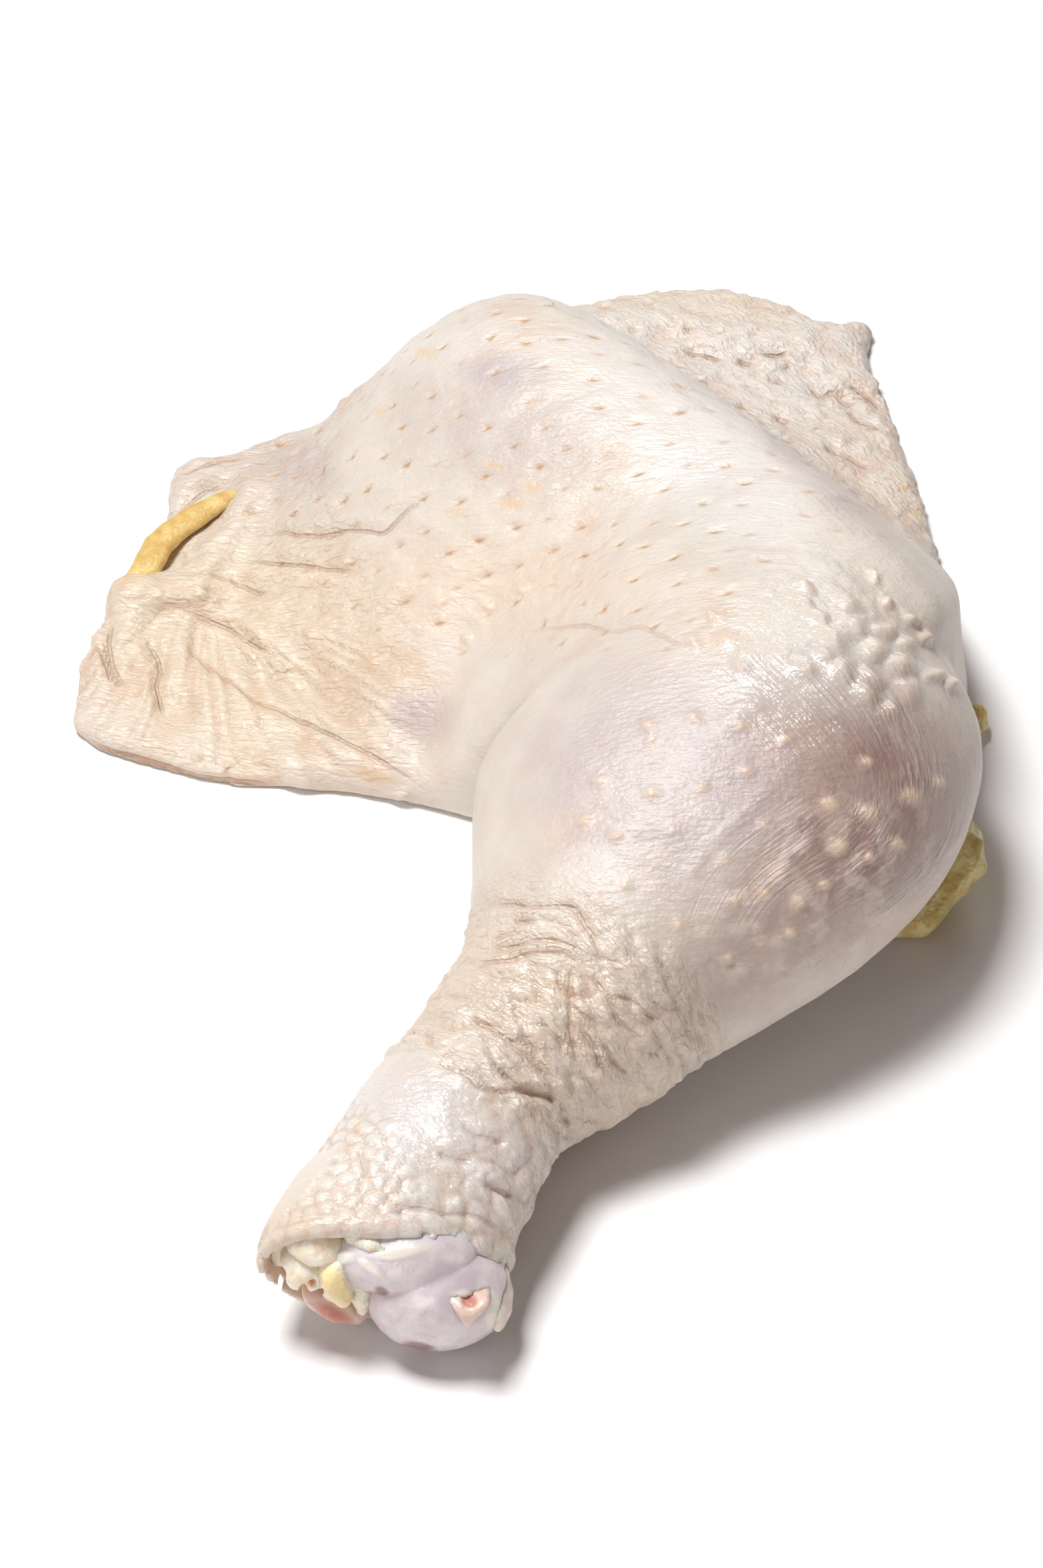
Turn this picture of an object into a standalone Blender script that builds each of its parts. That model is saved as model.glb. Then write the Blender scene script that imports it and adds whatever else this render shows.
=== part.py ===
"""A raw chicken leg lying skin side up: drumstick, thigh and its loose skin, the cut ankle and its fat.

Metres, +Z up. The leg rests on its flat underside at Z = 0 and the origin is the middle of its footprint.
+X runs towards the knee's side, and the cut ankle points to -Y. The plan below is drawn in millimetres.
"""

import math

import bmesh
import bpy
import numpy as np
from mathutils import Matrix, Vector

MM = 0.001

# Driving sizes of the leg, in millimetres
SKIN_EDGE = 2.4
FLAP_LEVEL = 4.2
RIM_WALL = 1.9
RIM_LIP = 0.9
SOCKET_DEPTH = 10.0
BASE_TRIM = 0.35
FIT_GAP = 0.35
VOXEL = 1.1
LEG_TRIANGLES = 5600

# The drumstick from the ankle's cut to inside the thigh, one ring in a row:
# centre x, y, z, half width, half height, then in degrees its turn about Z and how far its left side is rolled up
DRUMSTICK_RINGS = (
    (-17.2, -91.2, 11.6, 15.8, 10.6, 0.0, 19.0),
    (-15.5, -85.5, 11.9, 14.9, 10.6, -8.0, 16.0),
    (-11.8, -77.0, 12.4, 13.3, 11.3, -19.0, 10.0),
    (-8.4, -70.0, 12.9, 12.9, 11.9, -25.0, 6.0),
    (-5.0, -64.2, 13.7, 12.1, 11.8, -28.0, 3.0),
    (0.4, -59.2, 15.2, 13.8, 13.5, -32.0, 0.0),
    (5.6, -54.2, 17.2, 15.7, 15.6, -34.0, 0.0),
    (8.8, -47.8, 18.9, 18.8, 17.4, -36.0, 0.0),
    (15.8, -35.4, 22.0, 27.0, 20.4, -38.0, 0.0),
    (27.4, -23.4, 24.4, 29.0, 22.6, -37.0, 0.0),
    (33.6, -11.0, 24.2, 28.8, 22.6, -30.0, 0.0),
    (36.0, 0.0, 21.0, 25.0, 19.0, -20.0, 0.0),
    (36.0, 10.0, 17.0, 15.0, 13.0, -10.0, 0.0),
)

# The loose skin's outline on the table, counterclockwise from the corner at the lower left
SKIN_OUTLINE = (
    (-59.6, 6.2), (-41.0, -0.8), (-25.6, -2.6), (-12.0, -5.6), (4.0, -12.0), (24.0, -22.0),
    (43.0, -24.0), (54.0, -12.0), (60.2, 2.0), (61.8, 16.6), (60.4, 31.0), (58.6, 51.6),
    (54.8, 72.0), (52.0, 83.0), (53.0, 92.0), (46.0, 91.4), (38.0, 97.0), (24.0, 99.2),
    (6.0, 94.6), (-8.0, 86.5), (-20.0, 76.0), (-27.0, 68.0), (-34.5, 67.2), (-43.0, 62.0),
    (-50.0, 60.6), (-51.6, 52.0), (-51.8, 44.0), (-58.6, 33.0), (-59.4, 27.0), (-62.6, 17.0),
)
SKIN_MIDDLE = (4.0, 34.0)

# The thigh is a dome: its middle and run in plan, its height, and how far its slopes reach
THIGH_MIDDLE = (17.0, 35.0)
THIGH_RUN = math.radians(-46.0)
THIGH_HEIGHT = 36.0
HIP_REACH = 62.5
KNEE_REACH = 84.0
FRONT_REACH = 68.0
BACK_REACH = 42.0
FRONT_WIDENING = 0.35
DOME_FULLNESS = 2.1
RIDGE_FLATNESS = 4.4
SKIN_BRIDGE = 48.0
SKIRT = 1.4
KNEE_ROUNDING = 11.0
PEAK = 49.0

# How far the cut tendon's flat side is turned about its own length, in degrees
TENDON_ROLL = -38.0

# The flesh tab is a three-sided prism with one corner down: its turn about its own length, in degrees
TAB_ROLL = -30.0

# Folds of the loose skin: the ends of each in plan, its half width, and how far it stands up
SKIN_FOLDS = (
    (-61.0, 31.0, -45.0, 34.0, 3.0, 2.2),
    (-57.0, 38.5, -47.5, 38.5, 2.6, -1.8),
    (-44.0, 39.5, -38.0, 52.0, 3.0, 2.0),
    (-49.0, 27.0, -30.0, 13.0, 2.4, -1.5),
    (-34.0, 17.0, -10.0, -3.0, 2.8, -1.6),
    (-54.0, 20.0, -46.0, 8.0, 2.6, -1.0),
    (-14.0, -2.0, -5.0, 14.0, 4.5, -3.0),
    (26.0, 66.0, 50.0, 26.0, 4.5, -1.5),
    (40.0, 78.0, 54.0, 71.0, 2.6, -1.5),
    (14.0, 90.0, 44.0, 84.0, 3.0, 1.4),
    (42.0, 62.0, 58.0, 52.0, 2.8, 1.2),
)


def rows_through(points, count, closed=False):
    """A smooth curve through the points, a Catmull-Rom spline, read at count even steps."""
    knots = np.array(points, float)
    if closed:
        knots = np.vstack([knots[-1], knots, knots[:2]])
        spans = len(points)
        steps = np.linspace(0, spans, count, endpoint=False)
    else:
        knots = np.vstack([2 * knots[0] - knots[1], knots, 2 * knots[-1] - knots[-2]])
        spans = len(points) - 1
        steps = np.linspace(0, spans, count)
    span = np.minimum(steps.astype(int), spans - 1)
    t = (steps - span)[:, None]
    a, b, c, d = (knots[span + k] for k in range(4))
    return 0.5 * (2 * b + (c - a) * t + (2 * a - 5 * b + 4 * c - d) * t**2 + (3 * b - a - 3 * c + d) * t**3)


def add_object(name, bm, material=None):
    """One named object from a bmesh drawn in millimetres."""
    bmesh.ops.recalc_face_normals(bm, faces=bm.faces)
    bmesh.ops.scale(bm, vec=(MM, MM, MM), verts=bm.verts)
    mesh = bpy.data.meshes.new(name)
    bm.to_mesh(mesh)
    bm.free()
    mesh.shade_smooth()
    if material:
        mesh.materials.append(material)
    obj = bpy.data.objects.new(name, mesh)
    bpy.context.scene.collection.objects.link(obj)
    return obj


def loft(bm, rings):
    """Skins a list of closed rings, each the same count of points, with a cap at each end."""
    loops = [[bm.verts.new(p) for p in ring] for ring in rings]
    count = len(loops[0])
    for near, far in zip(loops, loops[1:]):
        for i in range(count):
            j = (i + 1) % count
            bm.faces.new((near[i], near[j], far[j], far[i]))
    bm.faces.new(loops[0][::-1])
    bm.faces.new(loops[-1])


def drumstick_rings(stations, around=48, shrink=0.0):
    """Oval rings across the drumstick, drawn smaller by a wall."""
    rings = []
    for x, y, z, wide, high, turn, roll in stations:
        angle, lean = math.radians(turn), math.radians(roll)
        side = np.array((math.cos(angle), math.sin(angle), 0.0))
        right = side * math.cos(lean) - np.array((0.0, 0.0, math.sin(lean)))
        up = side * math.sin(lean) + np.array((0.0, 0.0, math.cos(lean)))
        ring = []
        for k in range(around):
            phi = math.tau * k / around
            ring.append(np.array((x, y, z)) + right * (wide - shrink) * math.cos(phi)
                        + up * (high - shrink) * math.sin(phi))
        rings.append(ring)
    return rings


def thigh_height(x, y):
    """How high the thigh's meat lifts the skin at points of the plan."""
    dx, dy = x - THIGH_MIDDLE[0], y - THIGH_MIDDLE[1]
    along = dx * math.cos(THIGH_RUN) + dy * math.sin(THIGH_RUN)
    across = dy * math.cos(THIGH_RUN) - dx * math.sin(THIGH_RUN)
    run = np.abs(along) / np.where(along > 0, KNEE_REACH, HIP_REACH)
    side = np.abs(across) / np.where(across > 0, BACK_REACH, FRONT_REACH + FRONT_WIDENING * along)
    q = np.sqrt(run**RIDGE_FLATNESS + side**2)
    return THIGH_HEIGHT * (1 - np.clip(q, 0, 1) ** DOME_FULLNESS) ** 3


def drumstick_height(x, y, stations):
    """How high the drumstick lifts the skin at points of the plan, with a skirt beside it."""
    top = np.zeros_like(x)
    for px, py, z, wide, high, turn, _roll in stations:
        cos, sin = math.cos(math.radians(turn)), math.sin(math.radians(turn))
        across = ((x - px) * cos + (y - py) * sin) / wide
        along = ((y - py) * cos - (x - px) * sin) / KNEE_ROUNDING
        q = np.clip(np.hypot(across, along) / SKIRT, 0, 1)
        top = np.maximum(top, (z + high) * (1 - q**2.6) ** 1.25)
    return top


def bridged(a, b, reach):
    """The higher of two heights, with the corner between them filled over a reach."""
    high, low = np.maximum(a, b), np.minimum(a, b)
    near = np.clip(1 - (high - low) / reach, 0, 1)
    room = np.clip(1 - high / PEAK, 0, 1)
    return high + near**2 * np.clip(low / (0.6 * reach), 0, 1) * room * reach / 2


def fold_height(x, y):
    """How far the folds lift the skin, or sink it, at points of the plan."""
    lift = np.zeros_like(x)
    for x0, y0, x1, y1, half, stand in SKIN_FOLDS:
        run = np.array((x1 - x0, y1 - y0))
        along = np.clip(((x - x0) * run[0] + (y - y0) * run[1]) / run.dot(run), 0, 1)
        away = np.hypot(x - x0 - along * run[0], y - y0 - along * run[1]) / half
        lift += stand * np.exp(-away**2)
    return lift


def skin_height(x, y, stations):
    """The top of the skin over the table: flaps that climb onto thigh and drumstick."""
    return fold_height(x, y) + bridged(FLAP_LEVEL + thigh_height(x, y), drumstick_height(x, y, stations), SKIN_BRIDGE)


def thigh_form(bm, stations):
    """The thigh and its skin flaps: rings from the outline in to the middle, over a flat base."""
    edge = rows_through(SKIN_OUTLINE, 220, closed=True)
    middle = np.array(SKIN_MIDDLE)
    rings = [[(x, y, 0.0) for x, y in edge], [(x, y, SKIN_EDGE) for x, y in edge]]
    for reach in np.linspace(0.985, 0.01, 60):
        ring = middle + (edge - middle) * reach
        heights = skin_height(ring[:, 0], ring[:, 1], stations)
        lift = np.minimum(1.0, (1 - reach) / 0.05)
        heights = SKIN_EDGE + (heights - SKIN_EDGE) * lift
        rings.append([(x, y, z) for (x, y), z in zip(ring, heights)])
    loft(bm, rings)


def modifier(obj, kind, name, **settings):
    made = obj.modifiers.new(name, kind)
    for key, value in settings.items():
        setattr(made, key, value)
    return made


def skin_material(name, colour, roughness):
    material = bpy.data.materials.new(name)
    material.use_nodes = True
    shader = material.node_tree.nodes["Principled BSDF"]
    shader.inputs["Base Color"].default_value = (*colour, 1.0)
    shader.inputs["Roughness"].default_value = roughness
    material.diffuse_color = (*colour, 1.0)
    return material


def keep_shape(obj):
    """Turns an object's modifiers into its own mesh."""
    made = bpy.data.meshes.new_from_object(obj.evaluated_get(bpy.context.evaluated_depsgraph_get()))
    obj.modifiers.clear()
    obj.data = made
    return obj


def combine(obj, other, operation):
    """Joins a second solid to the first or takes it away, and drops the second."""
    modifier(obj, "BOOLEAN", "join", operation=operation, object=other, solver="EXACT")
    keep_shape(obj)
    bpy.data.objects.remove(other)
    return obj


def reduce_to(obj, triangles):
    count = sum(len(face.vertices) - 2 for face in obj.data.polygons)
    modifier(obj, "DECIMATE", "reduce", ratio=triangles / count)
    return keep_shape(obj)


def ball(name, centre, radii, turn=0.0, grow=0.0, detail=3):
    """An egg shape, turned about Z in degrees."""
    bm = bmesh.new()
    bmesh.ops.create_icosphere(bm, subdivisions=detail, radius=1.0)
    size = Matrix.Diagonal((*(r + grow for r in radii), 1.0))
    turned = Matrix.Rotation(math.radians(turn), 4, "Z")
    bmesh.ops.transform(bm, matrix=Matrix.Translation(centre) @ turned @ size, verts=bm.verts)
    return add_object(name, bm)


def strand(name, path, grow=0.0, roll=0.0, around=10, along=11):
    """A tapered strand through x, y, z with a half width and a half height at each point."""
    rows = rows_through(path, along)
    bm = bmesh.new()
    rings = []
    for i, row in enumerate(rows):
        ahead = Vector(rows[min(i + 1, along - 1)][:3]) - Vector(rows[max(i - 1, 0)][:3])
        side = Vector((ahead.y, -ahead.x, 0.0)).normalized()
        up = side.cross(ahead).normalized()
        lean = Matrix.Rotation(math.radians(roll), 3, ahead)
        side, up = lean @ side, lean @ up
        close = min(i, along - 1 - i) / 3
        swell = math.sqrt(max(1 - (1 - min(close, 1.0)) ** 2, 0.04))
        centre = Vector(row[:3])
        if grow:
            centre -= ahead.normalized() * grow * (i == 0) - ahead.normalized() * grow * (i == along - 1)
        rings.append([
            centre + side * (row[3] * swell + grow) * math.cos(math.tau * k / around)
            + up * (row[4] * swell + grow) * math.sin(math.tau * k / around)
            for k in range(around)
        ])
    loft(bm, rings)
    return add_object(name, bm)


def cuff_plug(name, wall, back, front, grow=0.0):
    """The space inside the cut end of the skin, an oval tunnel along the shank."""
    stations = rows_through(DRUMSTICK_RINGS, 70)
    rows = np.array([[np.interp(y, stations[:, 1], stations[:, k]) for k in range(7)]
                     for y in np.linspace(front, back, 5)])
    rows[:, 1] = np.linspace(front, back, 5)
    rows[:, 0] -= RIM_LIP
    rows[:, 2] -= RIM_LIP * 0.8
    bm = bmesh.new()
    loft(bm, drumstick_rings(rows, around=28, shrink=wall - grow))
    return add_object(name, bm)


def make_leg(material):
    """Thigh, flaps and drumstick grown into one skin."""
    bm = bmesh.new()
    stations = rows_through(DRUMSTICK_RINGS, 70)
    loft(bm, drumstick_rings(stations))
    thigh_form(bm, stations)
    leg = add_object("leg", bm, material)
    modifier(leg, "REMESH", "grow together", mode="VOXEL", voxel_size=VOXEL * MM)
    modifier(leg, "SMOOTH", "stretch the skin", factor=0.5, iterations=12)
    keep_shape(leg)
    reduce_to(leg, LEG_TRIANGLES)
    box = bmesh.new()
    bmesh.ops.create_cube(box, size=1.0, matrix=Matrix.Translation((0, 0, -20 + BASE_TRIM))
                          @ Matrix.Diagonal((400, 400, 40, 1)))
    return combine(leg, add_object("base", box), "DIFFERENCE")


def knuckle_lobes(grow=0.0):
    """The shin bone's rounded end: a lower bowl and an upper lip grown together."""
    bowl = ball("knuckle", (-10.0, -91.4, 8.7), (8.3, 5.6, 7.6), turn=4, grow=grow)
    lip = ball("lip", (-14.4, -89.0, 15.0), (8.6, 5.4, 4.6), turn=-2, grow=grow)
    return combine(bowl, lip, "UNION")


def tendon(grow=0.0):
    return strand("tendon", ((-22.4, -84.5, 8.0, 4.2, 1.6), (-22.5, -89.0, 7.4, 4.7, 1.8),
                             (-22.6, -93.4, 6.8, 4.7, 1.6)), grow, roll=TENDON_ROLL)


def tendon_tab(grow=0.0):
    return strand("tendon_tab", ((-5.6, -91.0, 11.0, 1.6, 1.6), (-6.1, -94.2, 12.2, 2.4, 2.4),
                                 (-6.5, -97.2, 12.9, 2.8, 2.8)), grow, roll=TAB_ROLL, around=3)


def gristle(grow=0.0):
    return strand("gristle", ((-2.9, -87.0, 9.0, 0.9, 2.4), (-2.3, -91.0, 8.2, 0.9, 3.2),
                              (-2.9, -94.6, 6.4, 0.8, 2.4)), grow)


def flap_fat(grow=0.0):
    return strand("flap_fat", ((-39.8, 50.8, 6.4, 0.9, 0.8), (-43.0, 49.0, 6.0, 1.5, 1.0),
                               (-47.6, 45.6, 5.4, 1.9, 1.1), (-51.6, 41.4, 4.8, 2.2, 1.2),
                               (-53.2, 37.0, 4.4, 2.1, 1.2), (-56.4, 34.6, 4.2, 1.5, 1.1)), grow)


def knee_fat(grow=0.0):
    return strand("knee_fat", ((48.6, -29.6, 2.4, 1.6, 1.4), (53.2, -25.0, 3.6, 3.2, 2.4),
                               (57.6, -18.8, 5.0, 3.7, 3.3), (60.2, -12.0, 6.4, 2.2, 3.0)), grow)


def edge_fat(grow=0.0):
    return strand("edge_fat", ((62.6, 6.6, 3.0, 0.9, 1.2), (62.8, 9.4, 3.0, 1.3, 1.6),
                               (62.2, 12.2, 3.0, 0.9, 1.2)), grow)


def make_cuff_fat(material):
    """The fat that lines the cut end: a bed behind the bone with lumps at the left and over the top."""
    bed = cuff_plug("cuff_fat", RIM_WALL, -82.5, -88.6, grow=0.8)
    for centre, radii in (((-26.0, -89.2, 13.2), (2.7, 3.6, 3.0)), ((-22.2, -90.4, 12.6), (2.2, 3.6, 4.4)),
                          ((-24.4, -88.8, 17.0), (3.4, 3.4, 2.2)), ((-13.0, -89.0, 19.4), (8.0, 3.4, 1.8))):
        combine(bed, ball("lump", centre, radii, detail=2), "UNION")
    fold = strand("fold", ((-22.4, -87.0, 17.4, 1.0, 1.4), (-19.9, -90.6, 12.8, 1.0, 1.6),
                           (-19.2, -92.6, 7.2, 0.8, 1.4)))
    combine(bed, fold, "UNION")
    combine(bed, cuff_plug("trim", RIM_WALL, -80.0, -96.0, grow=-FIT_GAP), "INTERSECT")
    reduce_to(bed, 900)
    for other in (knuckle_lobes, tendon, tendon_tab, gristle):
        combine(bed, other(FIT_GAP), "DIFFERENCE")
    bed.data.materials.clear()
    bed.data.materials.append(material)
    return bed


for old in list(bpy.data.objects):
    bpy.data.objects.remove(old)

skin = skin_material("skin", (0.80, 0.66, 0.56), 0.4)
cartilage = skin_material("cartilage", (0.62, 0.52, 0.54), 0.3)
meat = skin_material("meat", (0.62, 0.30, 0.22), 0.35)
fat = skin_material("fat", (0.72, 0.50, 0.20), 0.35)

leg = make_leg(skin)
combine(leg, cuff_plug("pocket", RIM_WALL, -91.0 + SOCKET_DEPTH, -97.0), "DIFFERENCE")
for other in (knuckle_lobes, tendon, tendon_tab, gristle, flap_fat, knee_fat, edge_fat):
    combine(leg, other(FIT_GAP), "DIFFERENCE")

pieces = [leg, make_cuff_fat(fat)]
for shape, material in ((knuckle_lobes, cartilage), (tendon, meat), (tendon_tab, meat), (gristle, cartilage),
                        (flap_fat, fat), (knee_fat, fat), (edge_fat, fat)):
    piece = shape()
    if shape is knuckle_lobes:
        for other in (tendon, tendon_tab, gristle):
            combine(piece, other(FIT_GAP), "DIFFERENCE")
    piece.data.materials.clear()
    piece.data.materials.append(material)
    pieces.append(piece)

# The middle of the footprint comes to the origin and the flat underside to Z = 0
points = np.vstack([np.array([v.co for v in piece.data.vertices]) for piece in pieces])
low, high = points.min(axis=0), points.max(axis=0)
SHIFT = Vector((-(low[0] + high[0]) / 2, -(low[1] + high[1]) / 2, -low[2]))
for piece in pieces:
    piece.data.transform(Matrix.Translation(SHIFT))
    piece.data.update()
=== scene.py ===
# %% [markdown]
# # A raw chicken leg, skin side up
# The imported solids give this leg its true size: thigh, drumstick, loose skin and what fills the cut ankle.
# This lesson gives them their looks. The cells below load the solids, set the camera, grow the solids into
# finer meshes, press the folds and pores into them, and then colour each finish.

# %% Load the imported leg
import math
from itertools import product

import bmesh
import bpy
import numpy as np
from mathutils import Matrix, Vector
from mathutils.kdtree import KDTree


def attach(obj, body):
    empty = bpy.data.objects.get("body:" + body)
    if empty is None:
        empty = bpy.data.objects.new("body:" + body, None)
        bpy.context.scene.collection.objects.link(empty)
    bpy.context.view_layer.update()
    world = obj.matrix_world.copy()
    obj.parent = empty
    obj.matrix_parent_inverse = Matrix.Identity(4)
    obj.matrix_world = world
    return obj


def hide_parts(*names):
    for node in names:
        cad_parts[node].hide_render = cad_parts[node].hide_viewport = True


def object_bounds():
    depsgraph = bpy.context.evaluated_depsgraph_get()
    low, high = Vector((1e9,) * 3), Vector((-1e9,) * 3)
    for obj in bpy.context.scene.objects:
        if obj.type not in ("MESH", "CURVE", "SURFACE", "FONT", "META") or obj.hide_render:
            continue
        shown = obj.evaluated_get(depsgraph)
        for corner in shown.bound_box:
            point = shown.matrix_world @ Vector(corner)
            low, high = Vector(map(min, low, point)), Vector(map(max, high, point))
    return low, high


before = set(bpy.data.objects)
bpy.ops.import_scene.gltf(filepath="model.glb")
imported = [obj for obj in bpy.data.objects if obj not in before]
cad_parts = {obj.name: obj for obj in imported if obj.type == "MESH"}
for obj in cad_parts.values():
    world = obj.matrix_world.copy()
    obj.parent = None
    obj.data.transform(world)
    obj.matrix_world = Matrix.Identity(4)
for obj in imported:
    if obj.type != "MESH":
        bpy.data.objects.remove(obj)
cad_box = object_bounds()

MM = 0.001
print("solids:", sorted(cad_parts))

# %% [markdown]
# ## The camera
# The leg was photographed from in front, leaning down at 48 degrees, with a long lens. The same camera also
# tells where each point of the skin falls in the picture, in pixels of its 1568 by 2357 frame. Folds and
# patches of colour are placed by that, and they still lie on the skin itself.

# %% Camera
PHOTO_WIDTH, PHOTO_HEIGHT = 1568, 2357
LENS, SENSOR = 100.0, 36.0
LEAN = math.radians(48.0)
DISTANCE = 595.0
AIM = np.array((-1.0, -0.84, -0.35))
BACK = np.array((0.0, -math.cos(LEAN), math.sin(LEAN)))
UP = np.array((0.0, math.sin(LEAN), math.cos(LEAN)))
FOCAL_PIXELS = PHOTO_HEIGHT / SENSOR * LENS

camera_data = bpy.data.cameras.new("camera")
camera_data.lens, camera_data.sensor_width = LENS, SENSOR
camera_data.clip_start, camera_data.clip_end = 0.02, 20.0
camera = bpy.data.objects.new("camera", camera_data)
camera.location = Vector((AIM + BACK * DISTANCE) * MM)
camera.rotation_euler = (math.pi / 2 - LEAN, 0.0, 0.0)
bpy.context.scene.collection.objects.link(camera)
bpy.context.scene.camera = camera


def in_photo(points):
    """Where points fall in the picture: pixels across, pixels down, and pixels to the millimetre."""
    away = points - AIM
    scale = FOCAL_PIXELS / (DISTANCE - away @ BACK)
    return PHOTO_WIDTH / 2 + away[:, 0] * scale, PHOTO_HEIGHT / 2 - (away @ UP) * scale, scale


# %% [markdown]
# ## Even meshes to press relief into
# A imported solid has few, uneven triangles. A copy of it is merged, grown into one even skin by a voxel remesh
# and smoothed, so that its points can be moved one by one.

# %% Copy a solid as an even mesh
# Corners nearer than this, in metres, are the same corner
MERGE_WITHIN = 0.00001


def use_only(piece):
    """Selects one piece, so that its steps can be applied."""
    bpy.ops.object.select_all(action="DESELECT")
    piece.select_set(True)
    bpy.context.view_layer.objects.active = piece


def even_copy(node, name, voxel, smoothing=3):
    """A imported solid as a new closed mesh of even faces, voxel millimetres wide."""
    piece = bpy.data.objects.new(name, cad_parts[node].data.copy())
    piece.data.name = name
    piece.data.materials.clear()
    bpy.context.scene.collection.objects.link(piece)
    bm = bmesh.new()
    bm.from_mesh(piece.data)
    bmesh.ops.remove_doubles(bm, verts=bm.verts, dist=MERGE_WITHIN)
    bm.to_mesh(piece.data)
    bm.free()
    use_only(piece)
    remesh = piece.modifiers.new("even", "REMESH")
    remesh.mode, remesh.voxel_size = "VOXEL", voxel * MM
    smooth = piece.modifiers.new("soften", "SMOOTH")
    smooth.factor, smooth.iterations = 0.5, smoothing
    for step in ("even", "soften"):
        bpy.ops.object.modifier_apply(modifier=step)
    piece.data.shade_smooth()
    return piece


def read_points(piece):
    """A mesh's points and outward normals, in millimetres."""
    count = len(piece.data.vertices)
    points, normals = np.empty(count * 3), np.empty(count * 3)
    piece.data.vertices.foreach_get("co", points)
    piece.data.vertex_normals.foreach_get("vector", normals)
    return points.reshape(-1, 3) / MM, normals.reshape(-1, 3)


def write_points(piece, points):
    """Puts points back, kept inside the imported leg's box."""
    low, high = np.array(cad_box[0]) / MM, np.array(cad_box[1]) / MM
    inside = np.clip(points, low, high)
    piece.data.vertices.foreach_set("co", (inside * MM).ravel())
    piece.data.update()


def store(piece, name, values):
    """Keeps one number or one vector at each point of a mesh, for its finish to read."""
    kind, key = ("FLOAT", "value") if values.ndim == 1 else ("FLOAT_VECTOR", "vector")
    attribute = piece.data.attributes.new(name, kind, "POINT")
    attribute.data.foreach_set(key, np.ascontiguousarray(values, np.float32).ravel())


# %% [markdown]
# ## Brushes
# A few brushes are enough for all the relief and colour on the skin. A patch is a soft oval in the picture. A
# line runs through a few points, drawn as a smooth curve, and tells how far to its left or right each point
# lies. Grain is smooth noise of a given size in millimetres, and its zero line, drawn thin, looks like the
# fine wrinkles of skin.

# %% Ramps and grain
FAR = 1e9
LATTICE_SIDE, LATTICE_SEED = 32, 11
LATTICE = np.random.default_rng(LATTICE_SEED).uniform(-1.0, 1.0, (LATTICE_SIDE,) * 3)


def grain(where, size, shift=0.0):
    """Smooth random swells from -1 to 1, size millimetres across, or a size for each axis."""
    p = where / np.array(size) + shift
    cell = np.floor(p).astype(int)
    share = p - cell
    share = share * share * (3 - 2 * share)
    total = np.zeros(len(p))
    for corner in product((0, 1), repeat=3):
        weight = np.prod(np.where(corner, share, 1 - share), axis=1)
        i, j, k = ((cell + corner) % LATTICE_SIDE).T
        total += weight * LATTICE[i, j, k]
    return total


def ramp(values, low, high):
    """0 below low, 1 above high, and smooth between."""
    t = np.clip((values - low) / (high - low), 0, 1)
    return t * t * (3 - 2 * t)


def smooth_line(corners, steps=5):
    """A curve through a few corners, a Catmull-Rom spline."""
    knots = np.array(corners, float)
    knots = np.vstack([2 * knots[0] - knots[1], knots, 2 * knots[-1] - knots[-2]])
    line = []
    for a, b, c, d in zip(knots, knots[1:], knots[2:], knots[3:]):
        for t in np.arange(steps) / steps:
            line.append(0.5 * (2 * b + (c - a) * t + (2 * a - 5 * b + 4 * c - d) * t**2
                               + (3 * b - a - 3 * c + d) * t**3))
    return np.array(line + [knots[-2]])


# %% The skin as the brushes see it
# The way the shank runs, from the cut end up to the knee
SHANK_RUN = np.array((0.53, 0.83, 0.17))
SHANK_RUN /= np.linalg.norm(SHANK_RUN)
# How much a point faces the camera to count as seen, and its height in millimetres to be moved
SEEN_FACING, MOVED_ABOVE = (0.05, 0.3), (0.3, 1.6)


class Skin:
    """A mesh with where each of its points lies: on the leg in millimetres, and in the picture in pixels."""

    def __init__(self, piece):
        self.points, self.normals = read_points(piece)
        self.across, self.down, self.scale = in_photo(self.points)
        facing = self.normals @ BACK
        self.seen = ramp(facing, *SEEN_FACING)
        self.along = self.points @ SHANK_RUN
        self.top = ramp(self.points[:, 2], *MOVED_ABOVE)

    def patch(self, across, down, wide, high, turn=0.0, soft=0.75):
        """A soft oval in the picture: 1 at its middle and 0 past its edge. Half sizes are in pixels."""
        cos, sin = math.cos(math.radians(turn)), math.sin(math.radians(turn))
        right, below = self.across - across, self.down - down
        reach = np.hypot((right * cos + below * sin) / wide, (below * cos - right * sin) / high)
        return 1 - ramp(reach, 1 - soft, 1.0)

    def plateau(self, oval, lift=2.2):
        """A patch with a broad full middle: it is lifted, and cut off at 1."""
        return np.clip(self.patch(*oval) * lift, 0, 1)

    def from_line(self, corners, reach=70.0):
        """How far to a line's right each point lies, in millimetres, and how far along it, from 0 to 1."""
        line = smooth_line(corners)
        low, high = line.min(axis=0) - reach, line.max(axis=0) + reach
        near = (self.across > low[0]) & (self.across < high[0])
        near &= (self.down > low[1]) & (self.down < high[1])
        here = np.flatnonzero(near)
        best, side, along = np.full(len(here), FAR), np.ones(len(here)), np.zeros(len(here))
        for i, (start, end) in enumerate(zip(line, line[1:])):
            run = end - start
            right, below = self.across[here] - start[0], self.down[here] - start[1]
            t = np.clip((right * run[0] + below * run[1]) / max(run @ run, 1e-6), 0, 1)
            right, below = right - t * run[0], below - t * run[1]
            away = np.hypot(right, below)
            closer = away < best
            best = np.where(closer, away, best)
            side = np.where(closer, np.sign(run[0] * below - run[1] * right), side)
            along = np.where(closer, (i + t) / (len(line) - 1), along)
        distance, share = np.full(len(self.points), FAR), np.zeros(len(self.points))
        distance[here], share[here] = side * best / self.scale[here], along
        return distance, share


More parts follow.
